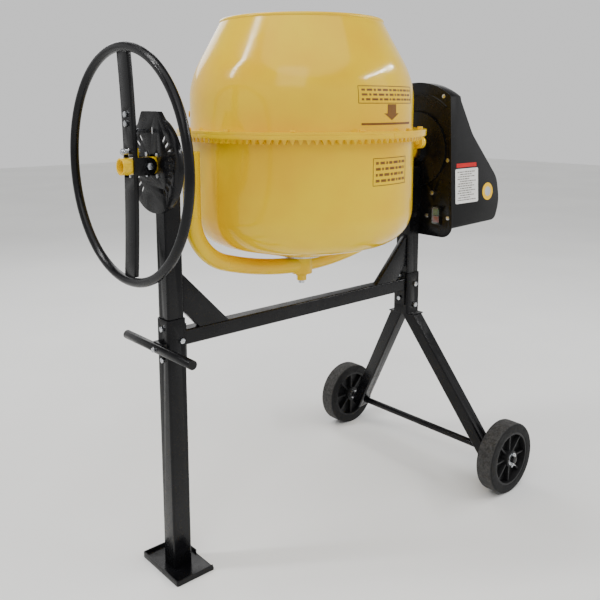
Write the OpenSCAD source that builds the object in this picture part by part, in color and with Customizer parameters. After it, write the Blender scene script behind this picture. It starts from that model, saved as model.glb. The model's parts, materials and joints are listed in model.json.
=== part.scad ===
// Electric concrete mixer with a tilting drum.
// X runs along the tilt axis, from the handwheel (-X) to the motor (+X). The front is -Y and +Z is up.
// The origin is on the floor, under the middle of the machine's length and width.

/* [Drum] */
// Outside diameter of the bowl
drum_d = 586; // [500:1:640]
// Radius of the mouth at the middle of its rolled rim
mouth_r = 205; // [160:1:225]
// Thickness of the drum's sheet steel
drum_t = 2.5; // [1.5:0.1:4]
// Depth of the bowl, from the joint between the halves down to its flat base
bowl_h = 331; // [300:1:400]
// Rounding between the bowl's side and its base
bowl_round = 95; // [60:1:110]
// Rise of the bowl's base, in degrees
base_rise = 14; // [6:1:20]
// Height of the mouth above the joint between the halves
cone_h = 270; // [230:1:330]
// Height above the joint where the straight side would meet the cone
shoulder_h = 123; // [90:1:140]
// Rounding between the side and the cone
shoulder_round = 200; // [80:1:220]
// Radius of the rolled rim's bead
bead_r = 5.5; // [4:0.5:8]
// Width of the flange that joins the halves
flange_w = 32; // [26:1:40]
// Number of mixing paddles
paddles = 2; // [2:1:3]
// Thickness of a paddle
paddle_t = 5; // [3:0.5:8]

/* [Gears and belt] */
// Teeth on the ring gear, in four equal segments
ring_teeth = 108; // [88:4:120]
// Teeth on the pinion
pinion_teeth = 18; // [16:1:22]
// Width of the pinion's face
pinion_w = 20; // [14:1:24]
// Pitch radius of the large pulley
pulley_r = 116; // [90:1:118]
// Pitch radius of the motor's pulley
motor_pulley_r = 14.5; // [13:0.5:24]
// Distance from the tilt axis down to the motor's axis
belt_drop = 155; // [150:1:170]

/* [Stand] */
// Height of the tilt axis above the floor
tilt_z = 998; // [960:1:1080]
// Height of the cross beam's top
beam_z = 604; // [540:1:610]
// Side of the cross beam's square tube
beam_w = 38; // [30:1:45]
// Side of the left post's square tube
post_w = 44; // [38:1:48]
// Side of the right post's square tube
drive_post_w = 50; // [44:1:52]
// Wall of the stand's square tubes
tube_t = 2.5; // [2:0.5:4]
// Width of the diagonal braces
brace_w = 62; // [40:1:70]
// Length of the foot plate, along X
foot_x = 106; // [90:1:130]
// Width of the foot plate, along Y
foot_y = 162; // [120:1:190]
// Half length of the transport handle
handle_half = 146; // [110:1:170]
// Radius of the transport handle
handle_r = 11; // [8:0.5:14]

/* [Wheels] */
// Radius of the wheels
wheel_r = 105; // [85:1:120]
// Width of the wheels
wheel_w = 52; // [40:1:58]
// Distance from the middle of the stand to the middle of a wheel
wheel_y = 328; // [300:1:350]
// Radius of the axle
axle_r = 10; // [8:0.5:12]

/* [Handwheel] */
// Outer radius of the handwheel
hand_r = 268; // [220:1:290]
// Radius of the handwheel's round tube
hand_tube_r = 10.5; // [8:0.5:13]
// Inward bow of the handwheel's spoke at its middle
spoke_bow = 8; // [4:1:12]
// Angle between neighbouring slots of the index plate
slot_step = 12.5; // [11:0.5:15]
// Slots on each side of the index plate
side_slots = 9; // [5:2:9]
// Radius to the middle of the slots
slot_pcr = 77; // [70:1:82]

/* [Drive housing] */
// Radius of the housing's round top
housing_r = 200; // [180:1:215]
// Half width of the housing at the bottom
housing_half = 142; // [130:1:160]
// Greatest depth of the outer cover
cover_depth = 240; // [228:1:270]
// Wall of the outer cover
cover_t = 3; // [2:0.5:4]

/* [Hidden] */

$fn = 64;
gap = 0.3; // between pieces that don't touch
fit = 0.05; // radial running clearance
bolt_play = 0.3; // radial clearance of a bolt in its hole

enamel = "#f6d313";
black = "#1d1d1f";
steel = "#b9bcc0";
rubber = "#2b2b2b";

// Gears: a ring of straight teeth that point down, and a spur pinion under it on the tilt axis
drum_r = drum_d / 2;
flange_r = drum_r + flange_w;
mesh_r = drum_r + 11;
tooth_pitch = 2 * PI * mesh_r / ring_teeth;
pinion_r = mesh_r * pinion_teeth / ring_teeth;
tooth_up = 5;
tooth_down = 6.2;
tooth_half = 0.21 * tooth_pitch;
flank = tan(22);
mesh_z = tilt_z + pinion_r;
gear_root_z = mesh_z + tooth_down;
gear_body_t = 11;
gear_top_z = gear_root_z + gear_body_t;

// Drum, from its joint
bowl_top_z = gear_top_z + drum_t;
cone_flange_z = bowl_top_z + drum_t;
base_z = bowl_top_z - bowl_h;
base_r = 70;
mouth_z = bowl_top_z + cone_h;
cone_r = drum_r - 3;
drum_bolt_r = drum_r + 16;

// Spindle and hub under the drum
spindle_r = 10;
spindle_flange_t = 5;
bearing_r = 23.5;
bearing_w = 14;
hub_r = 29;
hub_top_z = base_z - spindle_flange_t - 0.6;
hub_h = 49;
yoke_tube_r = 21;
yoke_tube_t = 2.6;
yoke_low_z = hub_top_z - 4.4 - yoke_tube_r;

// Yoke arms, posts and housing along X
left_arm_x = -(drum_r + 52);
right_arm_x = flange_r + 20 + yoke_tube_r;
post_x = left_arm_x - yoke_tube_r - 22 - post_w / 2;
trunnion_r = 19;
end_plate_x = right_arm_x + yoke_tube_r;
end_plate_t = 6;
carrier_r = 28;
carrier_flange_t = 7;
carrier_face_x = end_plate_x + end_plate_t + carrier_flange_t;
drive_post_x = carrier_face_x + 12 + drive_post_w / 2;
post_face_x = drive_post_x + drive_post_w / 2;
plate_t = 3;
spacer_t = 8;
plate_x = post_face_x + spacer_t;
ear_y = 74;
ear_z = 26;
ear_r = 18;

// Left side along X
post_out_x = post_x - post_w / 2;
index_x = post_out_x - 15;
index_t = 3;
hinge_x = index_x - 23;
spoke_x = hinge_x - 36;
spoke_half = 22;
spoke_t = 2.5;
spoke_d = 11;
rim_x = spoke_x - spoke_bow;
trunnion_end_x = spoke_x - 21;
tooth_tip_x = index_x - 1.2;
tooth_w = 5;
tooth_h = 9;
slot_w = 7;
slot_l = 18;
index_r = 110;
index_top = 120;

// The whole machine's place
cover_x = plate_x + plate_t;
mid_x = (cover_x + cover_depth - 1 + trunnion_end_x) / 2;

// Stand
leg_w = post_w + 2 * tube_t + 1;
leg_top_z = beam_z + 31;
block_half = 30;
foot_t = 5;
sleeve_w = drive_post_w + 2 * tube_t + 0.6;
sleeve_z = beam_z - 114;
leg_tube_w = 40;
axle_x = drive_post_x + 74;
motor_z = tilt_z - belt_drop;

// ---------- outlines ----------

function xy(p) = [p[0], p[1]];
function unit(v) = v / norm(v);
function left_of(v) = [-v[1], v[0]];

// Corners [x, y, round] moved d to the left of the way they run, with their rounds following
function shifted(p, d, closed) = let (n = len(p)) [for (i = [0:n - 1]) let (
    before = xy(p[(i + n - 1) % n]),
    here = xy(p[i]),
    after = xy(p[(i + 1) % n]),
    n1 = closed || i > 0 ? left_of(unit(here - before)) : left_of(unit(after - here)),
    n2 = closed || i < n - 1 ? left_of(unit(after - here)) : n1,
    m = (n1 + n2) / (1 + n1 * n2),
    bend = sign(n1[0] * n2[1] - n1[1] * n2[0]),
    round = p[i][2] == 0 ? 0 : max(0.5, p[i][2] - bend * d))
    [here[0] + m[0] * d, here[1] + m[1] * d, round]];

// The points of one rounded corner
function corner(before, here, after, r, n) = let (
    v1 = unit(before - here),
    v2 = unit(after - here),
    half = acos(v1 * v2) / 2,
    c = here + unit(v1 + v2) * r / sin(half),
    t1 = here + v1 * r / tan(half) - c,
    t2 = here + v2 * r / tan(half) - c,
    a = atan2(t1[1], t1[0]),
    turn = (atan2(t2[1], t2[0]) - a + 540) % 360 - 180)
    [for (k = [0:n]) c + r * [cos(a + turn * k / n), sin(a + turn * k / n)]];

function rounded(p, closed, n = 8) = let (m = len(p)) [for (i = [0:m - 1])
    each (p[i][2] == 0 || (!closed && (i == 0 || i == m - 1)) ? [xy(p[i])]
        : corner(xy(p[(i + m - 1) % m]), xy(p[i]), xy(p[(i + 1) % m]), p[i][2], n))];

function reversed(p) = [for (i = [len(p) - 1:-1:0]) p[i]];

// A wall of thickness t along a rounded path, on its left
module wall(path, t, n = 10) {
    polygon(concat(rounded(path, false, n), reversed(rounded(shifted(path, t, false), false, n))));
}

// A bar from the middle out to a point, 2 * half wide
module arm_outline(p, half) { rotate(atan2(p[1], p[0])) translate([0, -half]) square([norm(p), 2 * half]); }

module rounded_box(w, h, r) {
    square([w - 2 * r, h], center = true);
    square([w, h - 2 * r], center = true);
    for (x = [-1, 1], y = [-1, 1]) translate([x * (w / 2 - r), y * (h / 2 - r)]) circle(r);
}

module box_tube(w, t, r = 5) {
    difference() {
        rounded_box(w, w, r);
        rounded_box(w - 2 * t, w - 2 * t, r - t);
    }
}

// ---------- placing ----------

module place() { translate([-mid_x, 0, 0]) children(); }
module at_axis() { translate([0, 0, tilt_z]) children(); }

// Flat shapes drawn in Y and Z, or in X and Z, and given a thickness
module along_x(x0, x1) { translate([x0, 0, 0]) rotate([90, 0, 90]) linear_extrude(x1 - x0) children(); }
module along_y(y0, y1) { translate([0, y1, 0]) rotate([90, 0, 0]) linear_extrude(y1 - y0) children(); }

module rod_x(r, x0, x1, y = 0, z = 0, n = 64) {
    translate([x0, y, z]) rotate([0, 90, 0]) cylinder(r = r, h = x1 - x0, $fn = n);
}
module rod_y(r, y0, y1, x = 0, z = 0, n = 64) {
    translate([x, y1, z]) rotate([90, 0, 0]) cylinder(r = r, h = y1 - y0, $fn = n);
}
module rod_z(r, z0, z1, n = 64) { translate([0, 0, z0]) cylinder(r = r, h = z1 - z0, $fn = n); }

module ring_x(r_in, r_out, x0, x1, y = 0, z = 0) {
    difference() {
        rod_x(r_out, x0, x1, y, z);
        rod_x(r_in, x0 - 1, x1 + 1, y, z);
    }
}
module ring_y(r_in, r_out, y0, y1, x = 0, z = 0) {
    difference() {
        rod_y(r_out, y0, y1, x, z);
        rod_y(r_in, y0 - 1, y1 + 1, x, z);
    }
}

// A bolt along +Z with its head under z = 0 and a nut on its end, or with play > 0 the hole for it
module bolt(r, grip, play = 0, nut = true) {
    if (play > 0) {
        translate([0, 0, -1]) cylinder(r = r + play, h = grip + 2, $fn = 24);
    } else {
        translate([0, 0, -1.3 * r]) cylinder(r = 1.75 * r, h = 1.3 * r, $fn = 6);
        cylinder(r = r, h = grip + (nut ? 2 * r : 0), $fn = 24);
        if (nut) translate([0, 0, grip]) cylinder(r = 1.75 * r, h = 1.4 * r, $fn = 6);
    }
}
module bolt_x(r, x0, x1, y, z, play = 0, nut = true) {
    translate([x0, y, z]) rotate([0, 90, 0]) bolt(r, x1 - x0, play, nut);
}
module bolt_back_x(r, x0, x1, y, z, play = 0, nut = true) {
    translate([x1, y, z]) rotate([0, -90, 0]) bolt(r, x1 - x0, play, nut);
}
module bolt_y(r, y0, y1, x, z, play = 0, nut = true) {
    translate([x, y0, z]) rotate([-90, 0, 0]) bolt(r, y1 - y0, play, nut);
}

// ---------- stand, left side ----------

// Bolts that hold the stand together; with play, their holes
beam_bolt_x = post_x + 12;
module leg_bolts(play = 0) {
    bolt_y(4, -leg_w / 2, leg_w / 2, beam_bolt_x, beam_z - 22, play);
    for (z = [beam_z + 8, beam_z - 68]) {
        bolt_x(4, post_x - leg_w / 2, post_x + leg_w / 2 + beam_end_t, 0, z, play);
    }
}
module drive_post_bolts(play = 0) {
    for (z = [beam_z - 20, beam_z - 86]) {
        bolt_y(4.5, -sleeve_w / 2, sleeve_w / 2, drive_post_x + 6, z, play);
    }
    for (z = [beam_z + 8, beam_z - 64]) {
        bolt_x(4, drive_post_x - sleeve_w / 2 - beam_end_t, drive_post_x + sleeve_w / 2, 0, z, play);
    }
}
module housing_bolts(play = 0) {
    for (z = [tilt_z - 98, tilt_z - 70]) {
        bolt_x(4, post_face_x - tube_t, cover_x, 0, z, play);
    }
    for (z = [motor_z - 60, motor_z - 10]) {
        bolt_x(4, post_face_x - tube_t, cover_x, 0, z, play);
    }
}

module left_post() {
    color(black) place() difference() {
        translate([post_x, 0, beam_z - 50]) linear_extrude(tilt_z - block_half - beam_z + 50)
            box_tube(post_w, tube_t);
        leg_bolts(bolt_play);
        handle_bolts(bolt_play);
    }
}

module lower_leg() {
    color(black) place() difference() {
        translate([post_x, 0, foot_t]) linear_extrude(leg_top_z - foot_t) box_tube(leg_w, tube_t, 6);
        leg_bolts(bolt_play);
        handle_bolts(bolt_play);
    }
}

// A shallow tray with a raised lip on three sides
foot_lip = 9;
foot_edge = 3;
module foot_plate() {
    color(black) place() translate([post_x, 0, 0]) difference() {
        linear_extrude(foot_t + foot_lip) rounded_box(foot_x, foot_y, 4);
        translate([0, 0, foot_t]) linear_extrude(foot_lip + 1)
            rounded_box(foot_x - 2 * foot_edge, foot_y - 2 * foot_edge, 2);
        translate([foot_x / 2 - foot_edge - 1, -foot_y / 2 - 1, foot_t])
            cube([foot_edge + 2, foot_y / 2, foot_lip + 1]);
    }
}

handle_x = post_x - leg_w / 2 - handle_r - 2;
handle_z = beam_z - 37;
module transport_handle() {
    color(black) place() difference() {
        rod_y(handle_r, -handle_half, handle_half, handle_x, handle_z);
        rod_y(handle_r - 2, -handle_half - 1, handle_half + 1, handle_x, handle_z);
        handle_bolts(bolt_play);
    }
}

module handle_plugs() {
    color(rubber) place() for (s = [0, 1]) mirror([0, s, 0]) {
        rod_y(handle_r - 2, handle_half - 12, handle_half, handle_x, handle_z);
        rod_y(handle_r, handle_half, handle_half + 3, handle_x, handle_z);
    }
}

module handle_bolts(play = 0) {
    bolt_x(3.5, handle_x - handle_r, post_x - post_w / 2 + tube_t, 0, handle_z, play);
}

// The saddle between the handle and the leg
module handle_bracket() {
    color(black) place() difference() {
        translate([handle_x, -20, handle_z - 14]) cube([handle_r + 2, 40, 28]);
        rod_y(handle_r + fit, -25, 25, handle_x, handle_z);
        handle_bolts(bolt_play);
    }
}

// ---------- stand, beam and braces ----------

beam_x0 = post_x + leg_w / 2;
beam_end_t = 4;
beam_x1 = drive_post_x - sleeve_w / 2;
module cross_beam() {
    color(black) place() difference() {
        union() {
            translate([beam_x0 + beam_end_t, 0, beam_z - beam_w / 2]) rotate([90, 0, 90])
                linear_extrude(beam_x1 - beam_x0 - 2 * beam_end_t) box_tube(beam_w, tube_t);
            translate([beam_x0, -beam_w / 2, beam_z - 84]) cube([beam_end_t, beam_w, 100]);
            translate([beam_x1 - beam_end_t, -beam_w / 2, beam_z - 84]) cube([beam_end_t, beam_w, 100]);
        }
        drive_post_bolts(bolt_play);
        leg_bolts(bolt_play);
    }
}

// A channel that leans from the beam to a post: its web faces front, and its flanges run to the back
brace_rise = 137;
brace_run = 132;
brace_t = 3;
brace_depth = 18;
module brace(wall_x, side) {
    w = brace_w / cos(atan2(brace_rise, brace_run));
    h = brace_w / sin(atan2(brace_rise, brace_run));
    path = [[0, brace_rise], [brace_run, 0], [brace_run - h, 0], [0, brace_rise - w]];
    u = [brace_run, -brace_rise] / norm([brace_run, -brace_rise]);
    n = [u[1], -u[0]];
    translate([wall_x, 0, beam_z]) mirror([side, 0, 0]) intersection() {
        along_y(-beam_w / 2, -beam_w / 2 + brace_depth) polygon(path);
        union() {
            along_y(-beam_w / 2 - 1, -beam_w / 2 + brace_t) polygon(path);
            for (d = [0, brace_w - brace_t]) {
                a = [0, brace_rise] + n * d;
                b = [0, brace_rise] + n * (d + brace_t);
                along_y(-beam_w / 2 - 1, beam_w)
                    polygon([a - u * 200, a + u * 400, b + u * 400, b - u * 200]);
            }
        }
    }
}

module left_brace() { color(black) place() brace(post_x + post_w / 2, 0); }
module right_brace() { color(black) place() brace(drive_post_x - drive_post_w / 2, 1); }

// ---------- stand, right side ----------

drive_post_top = tilt_z - 53;
module drive_post() {
    color(black) place() difference() {
        translate([drive_post_x, 0, sleeve_z + 6]) linear_extrude(drive_post_top - sleeve_z - 6)
            box_tube(drive_post_w, tube_t);
        drive_post_bolts(bolt_play);
        housing_bolts(bolt_play);
    }
}

// A sleeve around the post's lower end, on a plate that the wheel legs are welded under
module wheel_frame_socket() {
    color(black) place() difference() {
        union() {
            translate([drive_post_x, 0, sleeve_z]) linear_extrude(130) box_tube(sleeve_w, tube_t);
            translate([drive_post_x - sleeve_w / 2, -45, sleeve_z]) cube([sleeve_w, 90, 4]);
        }
        drive_post_bolts(bolt_play);
    }
}

leg_low_y = wheel_y - wheel_w / 2 - 44;
module wheel_leg(side) {
    top = [drive_post_x, side * 24.4, sleeve_z];
    low = [axle_x, side * leg_low_y, wheel_r];
    along = top - low;
    difference() {
        intersection() {
            translate(low) rotate([-atan2(along[1], along[2]), 0, 0])
                rotate([0, atan2(along[0], norm([along[1], along[2]])), 0])
                translate([0, 0, -23]) linear_extrude(norm(along) + 80) box_tube(leg_tube_w, tube_t);
            translate([drive_post_x - 200, -500, 5]) cube([500, 1000, sleeve_z - 5]);
        }
        rod_y(axle_r + fit, -wheel_y, wheel_y, axle_x, wheel_r);
    }
}
module front_wheel_leg() { color(black) place() wheel_leg(-1); }
module rear_wheel_leg() { color(black) place() wheel_leg(1); }

axle_half = wheel_y + wheel_w / 2 + 11;
pin_y = axle_half - 4.5;
module axle() {
    color(black) place() difference() {
        rod_y(axle_r, -axle_half, axle_half, axle_x, wheel_r);
        for (s = [-1, 1]) translate([axle_x, s * pin_y, wheel_r - 20]) cylinder(r = 2 + fit, h = 40, $fn = 24);
    }
}

// Washers on both sides of each wheel, and split pins: a shank through the axle, an eye and two bent tails
module axle_washers_and_pins() {
    color(steel) place() for (s = [0, 1]) mirror([0, s, 0]) {
        ring_y(axle_r + fit, 19, wheel_y + wheel_w / 2 + gap, wheel_y + wheel_w / 2 + 3, axle_x, wheel_r);
        ring_y(axle_r + fit, 15, leg_low_y + 36, wheel_y - wheel_w / 2 - gap, axle_x, wheel_r);
    }
    color(steel) place() for (s = [-1, 1]) translate([axle_x, s * pin_y, wheel_r]) {
        translate([0, 0, -16]) cylinder(r = 2, h = 29, $fn = 24);
        translate([0, 0, 16]) rotate([90, 0, 0]) rotate_extrude($fn = 32) translate([4, 0]) circle(1.8, $fn = 16);
        for (t = [-1, 1]) translate([0, 0, -15]) rotate([0, t * 125, 0]) cylinder(r = 1.6, h = 11, $fn = 16);
    }
}

module tyre(side) {
    translate([0, side * wheel_y, 0]) translate([axle_x, wheel_w / 2, wheel_r]) rotate([90, 0, 0])
        rotate_extrude($fn = 96) polygon(rounded([[wheel_r - 26, 0, 0], [wheel_r, 0, 7],
            [wheel_r, wheel_w, 7], [wheel_r - 26, wheel_w, 0]], true, 5));
}
module front_tyre() { color(rubber) place() tyre(-1); }
module rear_tyre() { color(rubber) place() tyre(1); }

// A moulded disc with a hub and ribs on both faces
hub_out_r = 24;
wheel_ribs = 8;
module wheel_disc(side) {
    disc_r = wheel_r - 26;
    translate([axle_x, side * wheel_y, wheel_r]) {
        difference() {
            union() {
                ring_y(disc_r - 6, disc_r, -wheel_w / 2 + 1, wheel_w / 2 - 1);
                rod_y(disc_r - 3, -4, 4);
                rod_y(hub_out_r, -wheel_w / 2, wheel_w / 2);
                for (k = [0:wheel_ribs - 1]) rotate([0, k * 360 / wheel_ribs, 0])
                    translate([hub_out_r - 3, -wheel_w / 2 + 8, -2.5]) cube([disc_r - hub_out_r, wheel_w - 16, 5]);
            }
            rod_y(axle_r + fit, -wheel_w, wheel_w);
        }
    }
}
module front_wheel_disc() { color(black) place() wheel_disc(-1); }
module rear_wheel_disc() { color(black) place() wheel_disc(1); }

module stand_bolts() {
    color(steel) place() {
        leg_bolts();
        drive_post_bolts();
        housing_bolts();
        handle_bolts();
        index_screws();
    }
}

// ---------- index plate and left bearing ----------

// The upper tab is flat on top and reaches further to the back; the rest is round
module index_outline(inset = 0) {
    r = index_r - inset;
    h = index_top - inset;
    circle(r, $fn = 128);
    polygon(rounded([[-24 + inset, h, 10], [-58 + inset, 86, 0], [68 - inset, 80, 0], [44 - inset, h, 10]], true));
}

module index_screws(play = 0) {
    for (a = [45:90:315]) {
        translate([index_x, 33 * cos(a), tilt_z + 33 * sin(a)]) rotate([0, 90, 0])
            if (play > 0) translate([0, 0, -5]) cylinder(r = 3 + play, h = 40, $fn = 24);
            else {
                translate([0, 0, -3]) cylinder(r = 5, h = 3, $fn = 32);
                cylinder(r = 3, h = 30, $fn = 24);
            }
    }
}

slot_angles = concat([0], [for (s = [-1, 1], k = [0:side_slots - 1])
    s * (90 + (k - (side_slots - 1) / 2) * slot_step)]);
module index_plate() {
    color(black) place() difference() {
        union() {
            at_axis() along_x(index_x, index_x + index_t) index_outline();
            at_axis() along_x(index_x + index_t - 1, post_out_x - 1) difference() {
                index_outline();
                index_outline(index_t);
            }
            ring_x(trunnion_r + 5, 42, index_x + index_t - 1, post_out_x, 0, tilt_z);
        }
        rod_x(trunnion_r + 5, index_x - 1, index_x + index_t + 1, 0, tilt_z);
        at_axis() for (a = slot_angles) rotate([a, 0, 0]) translate([index_x - 1, 0, slot_pcr]) {
            translate([0, -slot_w / 2, -(slot_l - slot_w) / 2]) cube([index_t + 2, slot_w, slot_l - slot_w]);
            for (s = [-1, 1]) rod_x(slot_w / 2, 0, index_t + 2, 0, s * (slot_l - slot_w) / 2, 24);
        }
        index_screws(bolt_play);
    }
}
module left_bearing_block() {
    color(black) place() difference() {
        translate([post_out_x, -block_half, tilt_z - block_half]) cube([post_w, 2 * block_half, 2 * block_half]);
        rod_x(trunnion_r + 4, post_out_x - 1, post_out_x + post_w + 1, 0, tilt_z);
        index_screws(bolt_play);
    }
}

// ---------- right bearing and drive housing ----------

trunnion_disc_r = 113;
module trunnion_plate() {
    color(black) place() difference() {
        union() {
            rod_x(trunnion_disc_r, post_face_x, plate_x, 0, tilt_z);
            rod_x(44, post_face_x - 26, plate_x, 0, tilt_z);
            translate([post_face_x, -22, motor_z - 76]) cube([spacer_t, 44, belt_drop]);
        }
        rod_x(carrier_r + 5, post_face_x - 30, plate_x + 1, 0, tilt_z);
        housing_bolts(bolt_play);
    }
}
module tilt_bushes() {
    color("#8a6f3a") place() {
        ring_x(trunnion_r + fit, trunnion_r + 4, post_out_x, post_out_x + post_w, 0, tilt_z);
        ring_x(carrier_r + fit, carrier_r + 5, post_face_x - 26, cover_x + 1, 0, tilt_z);
    }
}

// The housing's outline in Y and Z, from the round top down the leaning sides
housing_top_half = housing_half - 18;
housing_low = tilt_z - 261;
module housing_outline(inset = 0) {
    intersection() {
        polygon(rounded([[-housing_half + inset, housing_low + inset, 38 - inset],
            [housing_half - inset, housing_low + inset, 38 - inset],
            [housing_top_half - inset - 4, tilt_z + housing_r, 0],
            [-housing_top_half + inset + 4, tilt_z + housing_r, 0]], true, 6));
        translate([0, tilt_z]) union() {
            circle(housing_r - inset, $fn = 160);
            translate([-housing_r, -housing_r * 2]) square([2 * housing_r, 2 * housing_r]);
        }
    }
}

motor_bolts = [[-65, 26], [65, 26], [-47, -45], [47, -45]];
screw_spots = [[-98, 158], [-119, -28], [-126, -200], [98, 158], [119, -28], [126, -200]];
gland_y = 84;
gland_z = tilt_z - 212;
switch_y = -85;
switch_z = tilt_z - 196;
switch_w = 32;
switch_h = 56;

module housing_plate() {
    color(black) place() difference() {
        union() {
            along_x(plate_x, cover_x) housing_outline();
            translate([plate_x, 0, tilt_z]) rotate([0, -90, 0]) rotate([0, 0, -40]) rotate_extrude(angle = 80, $fn = 128)
                polygon([[160, -1], [162, 2.5], [168, 2.5], [170, -1]]);
        }
        rod_x(carrier_r + 5, plate_x - 1, cover_x + 1, 0, tilt_z);
        housing_bolts(bolt_play);
        for (p = motor_bolts) bolt_x(4, plate_x, cover_x, p[0], motor_z + p[1], bolt_play);
        for (p = screw_spots) rod_x(2.5 + bolt_play, plate_x - 1, cover_x + 1, p[0], tilt_z + p[1], 24);
        rod_x(10 + bolt_play, plate_x - 1, cover_x + 1, gland_y, gland_z);
        translate([plate_x - 1, switch_y - 13, switch_z - 24]) cube([plate_t + 2, 26, 48]);
    }
}

// The cover's depth in X and Z: shallow over the pulley, deep round the motor
cover_end = cover_x + cover_depth;
function cover_side() = [
    [cover_x, tilt_z - 230, 0],
    [cover_end - 22, tilt_z - 223, 30],
    [cover_end + 2, tilt_z - 165, 90],
    [cover_end - 10, tilt_z - 92, 70],
    [cover_x + 104, tilt_z + 46, 130],
    [cover_x + 48, tilt_z + 146, 26],
    [cover_x + 34, tilt_z + 215, 0],
    [cover_x, tilt_z + 215, 0]];

module cover_solid(inset) {
    intersection() {
        along_x(cover_x - (inset > 0 ? 1 : 0), cover_end + 10) housing_outline(inset + 1);
        along_y(-housing_half - 5, housing_half + 5)
            polygon(rounded(shifted(cover_side(), inset, true), true, 9));
        if (inset > 0) translate([cover_x - 5, -300, housing_low]) cube([600, 600, 600]);
    }
}
module housing_cover() {
    color(black) place() difference() {
        union() {
            difference() {
                cover_solid(0);
                cover_solid(cover_t);
                translate([-cover_t - 1, 0, 0]) cover_solid(cover_t);
            }
            intersection() {
                cover_solid(0);
                for (p = screw_spots) rod_x(12, cover_x, cover_x + 10, p[0], tilt_z + p[1], 48);
            }
        }
        for (p = screw_spots) rod_x(2.5 + bolt_play, cover_x - 1, cover_x + 9, p[0], tilt_z + p[1], 24);
    }
}

module housing_screws() {
    color(steel) place() for (p = screw_spots) {
        rod_x(6, plate_x - 3, plate_x, p[0], tilt_z + p[1], 32);
        rod_x(2.5, plate_x, cover_x + 8, p[0], tilt_z + p[1], 24);
    }
}

// ---------- motor and belt, inside the housing ----------

standoff_end = cover_x + 58;
can_r = 58;
can_x0 = standoff_end + 9;
can_x1 = can_x0 + 96;
motor_shaft_r = 7;
pulley_x = cover_x + 18;
belt_w = 9;

module motor_body() {
    color("#5c6064") place() translate([0, 0, motor_z]) difference() {
        union() {
            rod_x(can_r - 4, can_x0, can_x1);
            for (k = [0:11]) ring_x(can_r - 6, can_r, can_x0 + 6 + k * 7.4, can_x0 + 9 + k * 7.4);
        }
        rod_x(34, can_x0 - 1, can_x1 + 1);
    }
}

module motor_end_shields() {
    color("#74787c") place() translate([0, 0, motor_z]) difference() {
        union() {
            rod_x(can_r, standoff_end, can_x0);
            for (p = motor_bolts) {
                rod_x(10, standoff_end, can_x0, p[0], p[1], 32);
                along_x(standoff_end, can_x0) arm_outline(p, 8);
            }
            rod_x(can_r, can_x1, can_x1 + 9);
        }
        rod_x(motor_shaft_r + fit, standoff_end - 1, can_x1 + 10);
        for (p = motor_bolts) bolt_x(4, standoff_end - 2, can_x0 + 2, p[0], p[1], bolt_play);
    }
}

// Spacer tubes and the long bolts that hold the motor off the housing plate
module motor_mounts() {
    color(steel) place() for (p = motor_bolts) {
        ring_x(4.5, 8, cover_x, standoff_end, p[0], motor_z + p[1]);
        bolt_x(4, plate_x, can_x0, p[0], motor_z + p[1]);
    }
}

fan_x = can_x1 + 12;
module motor_fan_cover() {
    color(black) place() translate([0, 0, motor_z]) difference() {
        rod_x(50, can_x1 + 9, fan_x + 22);
        rod_x(48, can_x1 + 8, fan_x + 20);
        for (a = [0:45:315], r = [18, 34]) rod_x(4, fan_x, fan_x + 30, r * cos(a), r * sin(a), 24);
    }
}

capacitor_y = 98;
module capacitor() {
    color("#d8d8d4") place() {
        rod_x(18, cover_x, cover_x + 74, capacitor_y, motor_z - 18);
        rod_x(5, cover_x + 74, cover_x + 82, capacitor_y, motor_z - 18, 32);
    }
}

// The outline of a loop round two pulleys: two arcs joined by their common tangents
function loop(r1, r2) = let (lift = asin((r1 - r2) / belt_drop)) concat(
    [for (k = [0:60]) let (a = -lift + (180 + 2 * lift) * k / 60) [r1 * cos(a), r1 * sin(a)]],
    [for (k = [0:12]) let (a = 180 + lift + (180 - 2 * lift) * k / 12) [r2 * cos(a), r2 * sin(a) - belt_drop]]);
module drive_belt() {
    color(rubber) place() at_axis() along_x(pulley_x - belt_w / 2, pulley_x + belt_w / 2) difference() {
        polygon(loop(pulley_r + 3, motor_pulley_r + 3));
        polygon(loop(pulley_r - 3, motor_pulley_r - 3));
    }
}

// A grooved rim: [radius, x] pairs, turned about the shaft
module grooved(pitch_r, bore_r, w) {
    deep = pitch_r - 3 - gap;
    g = belt_w / 2 + gap;
    rotate([0, 90, 0]) rotate_extrude($fn = 128) polygon([[bore_r, -w / 2], [pitch_r + 5, -w / 2],
        [pitch_r + 5, -g], [deep, -g], [deep, g], [pitch_r + 5, g], [pitch_r + 5, w / 2], [bore_r, w / 2]]);
}

module motor_rotor() {
    color(steel) place() translate([0, 0, motor_z]) {
        rod_x(motor_shaft_r, pulley_x - 8, fan_x + 14);
        rod_x(33, can_x0 + 8, can_x1 - 8);
        translate([pulley_x, 0, 0]) grooved(motor_pulley_r, motor_shaft_r - 1, 16);
    }
}
module cooling_fan() {
    color("#3a3a3c") place() translate([fan_x, 0, motor_z]) difference() {
        union() {
            rod_x(13, 0, 13);
            rod_x(44, 0, 2);
            for (a = [0:45:315]) rotate([a, 0, 0]) translate([1, 12, -1]) cube([11, 31, 2]);
        }
        rod_x(motor_shaft_r + 0.03, -1, 15);
    }
}

// ---------- switch ----------

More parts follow.
